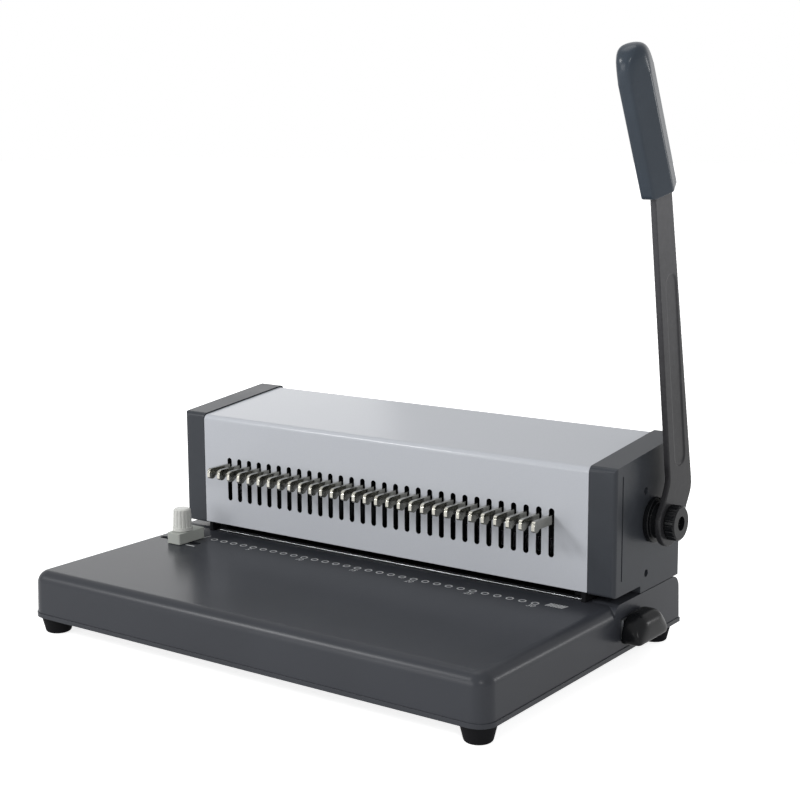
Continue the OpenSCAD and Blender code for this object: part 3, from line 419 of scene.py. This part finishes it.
def pin_nickel():
    # Bright nickel over stamped steel: tumbled smooth, so it mirrors its neighbours darkly.
    return metal("bright nickel plate", srgb("#ACABA3"), 0.18, grain=2 * MM)


def blued_steel():
    # Tool steel blacked in a hot salt bath: nearly black with a thin oily sheen.
    return metal("blacked tool steel", srgb("#2A2B2D"), 0.4, grain=0.8 * MM, strength=0.15)


def ground_steel():
    # Surface-ground tool steel: fine lines along the row, bright and even.
    return metal("ground tool steel", srgb("#C4C7CA"), 0.34, along=(0.02, 1, 1), strength=0.2)


def zinc_plate():
    # Bright zinc on mild steel: pale, slightly blotched where the passivation varies.
    return metal("zinc plated steel", srgb("#8D9093"), 0.38, grain=0.8 * MM, strength=0.15)


def turned_steel():
    # Turned bar: fine rings round its axis, drawn here as a fine even grain.
    return metal("turned bright steel", srgb("#A9ACAF"), 0.3, along=(1, 0.2, 0.2),
                 strength=0.15)


def spring_wire():
    # Phosphated spring wire: dark grey, dull, faint drawing lines.
    return metal("phosphated spring wire", srgb("#4A4C4E"), 0.45, grain=0.6 * MM)


def sintered_bronze():
    # Pressed and sintered bronze, full of oil: pores break up a brownish surface.
    return metal("sintered bronze", srgb("#7F6742"), 0.5, grain=0.4 * MM, strength=0.4)


def table_ink():
    # Screen-printed epoxy ink: flat pale grey, with pinholes that let a little coat through.
    mat, tree, shader, where = start("screen printed ink", **{"Roughness": 0.6,
                                                              "Specular IOR Level": 0.2})
    ink = list(colours().ink)
    holes = add(tree, "ShaderNodeTexNoise", {"Vector": where, "Scale": 1 / (0.8 * MM),
                                             "Detail": 2})
    even = add(tree, "ShaderNodeMapRange", {"Value": holes.outputs[0], **MIDDLE})
    toned = add(tree, "ShaderNodeMix", {FACTOR: even.outputs[0], FIRST: shade(ink, 0.75),
                                        SECOND: ink}, data_type="RGBA")
    patterned(tree, shader, toned)
    return mat


MATERIALS = {}


def finish(make):
    """The shared material of one finish, made when it is first asked for."""
    if make.__name__ not in MATERIALS:
        MATERIALS[make.__name__] = make()
    return MATERIALS[make.__name__]


# ---------------------------------------------------------------- shapes


def keep(node, make):
    """Keeps a CAD solid as it is, in a better finish."""
    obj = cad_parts[node]
    mat = finish(make)
    if not obj.material_slots:
        obj.data.materials.append(mat)
    for slot in obj.material_slots:
        slot.material = mat


def piece(name, bm, make, body):
    """A finished piece from a bmesh, riding on a CAD body."""
    mesh = bpy.data.meshes.new(name)
    bm.to_mesh(mesh)
    bm.free()
    obj = bpy.data.objects.new(name, mesh)
    bpy.context.scene.collection.objects.link(obj)
    for polygon in mesh.polygons:
        polygon.use_smooth = True
    mesh.set_sharp_from_angle(angle=SHARP_FROM)
    mesh.materials.clear()
    mesh.materials.append(finish(make))
    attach(obj, body)
    return obj


def extra(obj, make):
    """Adds one more finish to a piece, and returns its place in the list."""
    obj.data.materials.append(finish(make))
    return len(obj.data.materials) - 1


def solid(node):
    """A joined copy of a CAD solid's mesh, its flat faces whole again."""
    bm = bmesh.new()
    bm.from_mesh(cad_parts[node].data)
    bmesh.ops.remove_doubles(bm, verts=bm.verts, dist=JOINED_WITHIN)
    bmesh.ops.dissolve_limit(bm, angle_limit=FLAT_WITHIN, verts=bm.verts, edges=bm.edges,
                             use_dissolve_boundaries=False)
    for layer in list(bm.loops.layers.uv):
        bm.loops.layers.uv.remove(layer)
    return bm


def dressed(node, make, width, body, segments=3):
    """A piece in a CAD solid's place and shape, its edges rounded as a tool, a mould or a
    coat of paint would round them."""
    obj = piece(node + "_dressed", solid(node), make, body)
    edge = obj.modifiers.new("Edge", "BEVEL")
    edge.width = width
    edge.segments = segments
    edge.limit_method = "ANGLE"
    edge.angle_limit = EASED_FROM
    edge.use_clamp_overlap = True
    edge.miter_outer = "MITER_ARC"
    flat = obj.modifiers.new("Flat", "WEIGHTED_NORMAL")
    flat.keep_sharp = True
    flat.weight = 100
    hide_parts(node)
    return obj


def moulding(node, make, cell, passes, body, upright=None):
    """A piece in a CAD solid's place and shape, cast in cells of that size and smoothed so
    many times that every edge is as soft as a mould leaves it. A piece that leans is turned
    upright first, to lie along the cells, and crown() turns it back."""
    bm = solid(node)
    if upright:
        bm.transform(upright)
    obj = piece(node + "_moulded", bm, make, body)
    skin = obj.modifiers.new("Skin", "REMESH")
    skin.mode = "VOXEL"
    skin.voxel_size = cell
    skin.use_smooth_shade = True
    melt = obj.modifiers.new("Melt", "SMOOTH")
    melt.factor = 0.5
    melt.iterations = passes
    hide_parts(node)
    return obj


def crown(obj, axis, depth, passes, back=None):
    """Smooths the end of a moulded piece into a dome, from a depth below its tip, stretches
    it to its old length, and turns it back if it was turned upright."""
    bm = bmesh.new()
    bm.from_object(obj, bpy.context.evaluated_depsgraph_get())
    tip = max(vert.co.dot(axis) for vert in bm.verts)
    for share in DOME_TURNS:
        verts = [vert for vert in bm.verts if vert.co.dot(axis) > tip - depth * share]
        for _ in range(passes):
            bmesh.ops.smooth_vert(bm, verts=verts, factor=0.5, use_axis_x=True,
                                  use_axis_y=True, use_axis_z=True)
    low = tip - depth
    now = max(vert.co.dot(axis) for vert in bm.verts)
    for vert in bm.verts:
        over = vert.co.dot(axis) - low
        if over > 0:
            vert.co += axis * over * ((tip - low) / (now - low) - 1)
    if back:
        bm.transform(back)
    obj.modifiers.clear()
    bm.to_mesh(obj.data)
    bm.free()
    for polygon in obj.data.polygons:
        polygon.use_smooth = True


def slot_walls(cover):
    """The faces of the cover that line its slots."""
    low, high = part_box("cover")
    for polygon in cover.data.polygons:
        middle = polygon.center
        across = abs(polygon.normal.y) < SLOTS_FACING
        inside = low.y + SLOTS_IN[0] < middle.y < low.y + SLOTS_IN[1]
        level = SLOTS_LOW < middle.z < high.z - SLOTS_BELOW_TOP
        if across and inside and level and abs(middle.x) < SLOTS_HALF:
            yield polygon


# ---------------------------------------------------------------- operators


class PAPERDRILL_OT_base(bpy.types.Operator):
    """Coats the base and its tray, and rounds their sheet edges"""

    bl_idname = "paper_drill.base"
    bl_label = "Base"

    def execute(self, context):
        dressed("base_shell", powder_coat, sizes().sheet_edge, "chassis")
        dressed("bottom_tray", powder_coat, sizes().rim_edge, "chassis")
        keep("rubber_feet", foot_rubber)
        keep("base_screws", zinc_plate)
        keep("tray_runners", black_nylon)
        return {"FINISHED"}


class PAPERDRILL_OT_cover(bpy.types.Operator):
    """Makes the folded cover and the two moulded end caps"""

    bl_idname = "paper_drill.cover"
    bl_label = "Cover and caps"

    def execute(self, context):
        cover = dressed("cover", silver_grey_coat, sizes().cover_edge, "chassis")
        # The walls of the slots get the near-black painted shade.
        dark = extra(cover, cut_edge)
        for polygon in slot_walls(cover):
            polygon.material_index = dark
        for side in ("left", "right"):
            dressed(f"end_cap_{side}", cap_plastic, sizes().moulded_edge, "chassis")
        keep("cap_screws", zinc_plate)
        return {"FINISHED"}


class PAPERDRILL_OT_die(bpy.types.Operator):
    """Grinds the die plate, the guide and the parts of the drive"""

    bl_idname = "paper_drill.die"
    bl_label = "Die and drive"

    def execute(self, context):
        die = dressed("die_plate", blued_steel, sizes().die_edge, "chassis",
                      segments=2)
        die.modifiers["Edge"].material = extra(die, ground_steel)
        # These parts inside the cover are near black, partly as painted shade.
        for node in ("punch_guide", "side_plate_left", "side_plate_right", "ram", "back_gauge"):
            keep(node, phosphate)
        for node in ("punches", "main_shaft"):
            keep(node, blued_steel)
        for node in ("guide_posts", "drive_gears"):
            keep(node, turned_steel)
        springs = piece("return_springs_wound", solid("return_springs"), spring_wire, "chassis")
        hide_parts("return_springs")
        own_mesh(springs)
        keep("shaft_bushes", sintered_bronze)
        return {"FINISHED"}


class PAPERDRILL_OT_pins(bpy.types.Operator):
    """Plates the pull pins and tumbles their edges"""

    bl_idname = "paper_drill.pins"
    bl_label = "Pull pins"

    def execute(self, context):
        for node in PINS:
            dressed(node, pin_nickel, sizes().pin_edge, node)
        return {"FINISHED"}


class PAPERDRILL_OT_lever(bpy.types.Operator):
    """Makes the lever with its grip, collar and clamp knob"""

    bl_idname = "paper_drill.lever"
    bl_label = "Lever"

    def execute(self, context):
        s = sizes()
        moulding("lever_arm", arm_coat, s.arm_cell, 8, "lever")
        lean = Matrix.Rotation(GRIP_LEAN, 4, "X")
        grip = moulding("lever_grip", grip_sleeve, s.grip_cell, 14, "lever",
                        upright=lean.inverted())
        crown(grip, Vector((0, 0, 1)), s.grip_dome, 40, back=lean)
        dressed("shaft_collar", black_nylon, s.moulded_edge, "lever")
        dressed("clamp_knob", black_nylon, s.clamp_edge, "clamp_knob")
        return {"FINISHED"}


class PAPERDRILL_OT_tray(bpy.types.Operator):
    """Makes the chip tray and its pull"""

    bl_idname = "paper_drill.tray"
    bl_label = "Chip tray"

    def execute(self, context):
        s = sizes()
        dressed("chip_tray", zinc_plate, s.tray_edge, "tray", segments=2)
        pull = moulding("tray_pull", black_nylon, s.pull_cell, 12, "tray")
        crown(pull, Vector((1, 0, 0)), s.pull_dome, 11)
        return {"FINISHED"}


class PAPERDRILL_OT_stop(bpy.types.Operator):
    """Makes the paper stop with its fluted knob, and the margin dial"""

    bl_idname = "paper_drill.stop"
    bl_label = "Paper stop"

    def execute(self, context):
        dressed("stop_block", cast_block, sizes().block_edge, "paper_stop")
        dressed("stop_knob", knob_plastic, sizes().rib_edge, "stop_knob")
        keep("margin_dial", black_nylon)
        return {"FINISHED"}


def flat_ring(bm, x, y, z, outer, inner):
    """A flat printed ring."""
    made = bmesh.ops.create_circle(bm, cap_ends=False, radius=inner, segments=RING_STEPS,
                                   matrix=Matrix.Translation((x, y, z)))
    edges = list({e for v in made["verts"] for e in v.link_edges})
    grown = bmesh.ops.extrude_edge_only(bm, edges=edges)["geom"]
    bmesh.ops.scale(bm, vec=(outer / inner, outer / inner, 1),
                    verts=[g for g in grown if isinstance(g, bmesh.types.BMVert)],
                    space=Matrix.Translation((-x, -y, -z)))


def bar(bm, x, y, z, wide, deep, lean):
    """A flat printed stroke, leaning by a shift in x over its depth."""
    made = bmesh.ops.create_grid(bm, x_segments=1, y_segments=1, size=0.5)["verts"]
    bmesh.ops.scale(bm, vec=(wide, deep, 1), verts=made)
    for vert in made:
        vert.co.x += lean * (1 if vert.co.y > 0 else -1) / 2
    bmesh.ops.translate(bm, vec=(x, y, z), verts=made)


def written(bm, text, x, y, z, height):
    """A flat printed number, read from the front, with its centre at x, y."""
    curve = bpy.data.curves.new("number", "FONT")
    curve.body = text
    curve.size = height / FIGURE_SHARE
    curve.align_x = "CENTER"
    curve.align_y = "CENTER"
    curve.shear = FIGURE_SLANT
    curve.resolution_u = 3
    obj = bpy.data.objects.new("number", curve)
    bpy.context.scene.collection.objects.link(obj)
    bpy.context.view_layer.update()
    graph = bpy.context.evaluated_depsgraph_get()
    mesh = bpy.data.meshes.new_from_object(obj.evaluated_get(graph))
    mesh.transform(Matrix.Translation((x, y, z)))
    bm.from_mesh(mesh)
    bpy.data.objects.remove(obj)
    bpy.data.curves.remove(curve)
    bpy.data.meshes.remove(mesh)


def thicken(bm, height):
    """Gives flat print its film thickness."""
    grown = bmesh.ops.extrude_face_region(bm, geom=list(bm.faces))["geom"]
    bmesh.ops.translate(bm, vec=(0, 0, height),
                        verts=[g for g in grown if isinstance(g, bmesh.types.BMVert)])
    bmesh.ops.recalc_face_normals(bm, faces=bm.faces)


class PAPERDRILL_OT_marks(bpy.types.Operator):
    """Prints the rings, the numbers and the scales on the table"""

    bl_idname = "paper_drill.marks"
    bl_label = "Printed marks"

    def execute(self, context):
        s = sizes()
        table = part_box("die_plate")[1].z - DIE_PROUD
        bm = bmesh.new()
        for count, node in enumerate(PINS, 1):
            low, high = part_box(node)
            x = (low.x + high.x) / 2 - RING_SHIFT
            flat_ring(bm, x, RING_Y, table, s.ring / 2, s.ring / 2 - s.stroke)
            if count % NUMBER_EVERY == 0:
                written(bm, str(count), x, RING_Y - NUMBER_DROP, table, s.numeral)
        for x, y, wide, deep, lean in STROKES:
            bar(bm, x * MM, y * MM, table, wide * MM, deep * MM, lean * MM)
        thicken(bm, s.ink)
        piece("table_marks", bm, table_ink, "chassis")
        return {"FINISHED"}


def set_camera(scene):
    """The camera, turned by yaw, then pitch, then roll."""
    data = bpy.data.cameras.new("view")
    data.lens = LENS
    data.sensor_width = SENSOR
    data.clip_end = 20
    camera = bpy.data.objects.new("view", data)
    scene.collection.objects.link(camera)
    ahead = Vector((math.sin(YAW) * math.cos(PITCH), math.cos(YAW) * math.cos(PITCH),
                    math.sin(PITCH)))
    right = Vector((math.cos(YAW), -math.sin(YAW), 0))
    up = right.cross(ahead)
    across = math.cos(ROLL) * right + math.sin(ROLL) * up
    upward = -math.sin(ROLL) * right + math.cos(ROLL) * up
    turn = Matrix((across, upward, -ahead)).transposed().to_4x4()
    camera.matrix_world = Matrix.Translation(CAMERA_AT) @ turn
    scene.camera = camera


def hang_lamp(scene, name, place, target, wide, high, power):
    """One soft rectangular lamp."""
    light = bpy.data.lights.new(name, "AREA")
    light.shape = "RECTANGLE"
    light.size = wide
    light.size_y = high
    light.energy = power
    obj = bpy.data.objects.new(name, light)
    obj.location = place
    aim = Vector(target) - Vector(place)
    obj.rotation_euler = aim.to_track_quat("-Z", "Y").to_euler()
    scene.collection.objects.link(obj)


def light_world(scene):
    """An even world, seen as plain white."""
    world = bpy.data.worlds.new("studio")
    world.use_nodes = True
    tree = world.node_tree
    tree.nodes.clear()
    seen = clear_sight(tree)
    plain = add(tree, "ShaderNodeBackground", {"Color": (1, 1, 1, 1), "Strength": AMBIENT})
    white = add(tree, "ShaderNodeBackground", {"Color": (1, 1, 1, 1), "Strength": WHITE})
    mix = add(tree, "ShaderNodeMixShader", {0: seen, 1: plain.outputs[0],
                                            2: white.outputs[0]})
    add(tree, "ShaderNodeOutputWorld", {"Surface": mix.outputs[0]})
    scene.world = world


def lay_floor(scene):
    """A wide floor, seen as white, with the soft shadow near the feet."""
    bm = bmesh.new()
    bmesh.ops.create_grid(bm, x_segments=1, y_segments=1, size=FLOOR_HALF)
    mesh = bpy.data.meshes.new("floor")
    bm.to_mesh(mesh)
    bm.free()
    floor = bpy.data.objects.new("floor", mesh)
    scene.collection.objects.link(floor)
    # Matt white sweep: plain and even, and its own glow rises with the distance, so that
    # only the shadow near the feet shows.
    mat = bpy.data.materials.new("white studio floor")
    mat.use_nodes = True
    tree = mat.node_tree
    tree.nodes.clear()
    seen = clear_sight(tree)
    where = add(tree, "ShaderNodeTexCoord").outputs["Object"]
    away = add(tree, "ShaderNodeVectorMath", {0: where}, operation="LENGTH").outputs["Value"]
    far = add(tree, "ShaderNodeMapRange", {"Value": away, "From Min": GLOW_FROM,
                                           "From Max": GLOW_TO, "To Min": GLOW_NEAR,
                                           "To Max": GLOW_FAR})
    matt = add(tree, "ShaderNodeBsdfDiffuse", {"Color": srgb("#E4E4E4")})
    glow = add(tree, "ShaderNodeEmission", {"Color": (1, 1, 1, 1),
                                            "Strength": far.outputs[0]})
    none = add(tree, "ShaderNodeEmission", {"Color": (0, 0, 0, 1), "Strength": 0.0})
    lift = add(tree, "ShaderNodeMixShader", {0: seen, 1: none.outputs[0],
                                             2: glow.outputs[0]})
    both = add(tree, "ShaderNodeAddShader", {0: matt.outputs[0], 1: lift.outputs[0]})
    add(tree, "ShaderNodeOutputMaterial", {"Surface": both.outputs[0]})
    mesh.materials.append(mat)


class PAPERDRILL_OT_stage(bpy.types.Operator):
    """Sets the camera, the plain lights and the pale floor"""

    bl_idname = "paper_drill.stage"
    bl_label = "Stage"

    def execute(self, context):
        scene = context.scene
        set_camera(scene)
        for lamp in LAMPS:
            hang_lamp(scene, *lamp)
        light_world(scene)
        lay_floor(scene)
        scene.view_settings.view_transform = "Standard"
        return {"FINISHED"}


OPERATORS = (
    PAPERDRILL_OT_stage,
    PAPERDRILL_OT_base,
    PAPERDRILL_OT_cover,
    PAPERDRILL_OT_die,
    PAPERDRILL_OT_pins,
    PAPERDRILL_OT_lever,
    PAPERDRILL_OT_tray,
    PAPERDRILL_OT_stop,
    PAPERDRILL_OT_marks,
)


class PAPERDRILL_PT_panel(bpy.types.Panel):
    """Lists the pieces of the paper drill"""

    bl_label = "Paper drill"
    bl_idname = "PAPERDRILL_PT_panel"
    bl_space_type = "VIEW_3D"
    bl_region_type = "UI"
    bl_category = "Paper drill"

    def draw(self, context):
        for group in (context.scene.paper_drill_sizes, context.scene.paper_drill_colours):
            box = self.layout.box()
            for name in group.__annotations__:
                box.prop(group, name)
        for operator in OPERATORS:
            self.layout.operator(operator.bl_idname)


CLASSES = (PaperDrillSizes, PaperDrillColours) + OPERATORS + (PAPERDRILL_PT_panel,)


def register():
    for cls in CLASSES:
        bpy.utils.register_class(cls)
    bpy.types.Scene.paper_drill_sizes = PointerProperty(type=PaperDrillSizes)
    bpy.types.Scene.paper_drill_colours = PointerProperty(type=PaperDrillColours)


def unregister():
    del bpy.types.Scene.paper_drill_colours
    del bpy.types.Scene.paper_drill_sizes
    for cls in reversed(CLASSES):
        bpy.utils.unregister_class(cls)


def main():
    register()
    for operator in OPERATORS:
        group, name = operator.bl_idname.split(".")
        getattr(getattr(bpy.ops, group), name)()


if __name__ == "__main__":
    main()
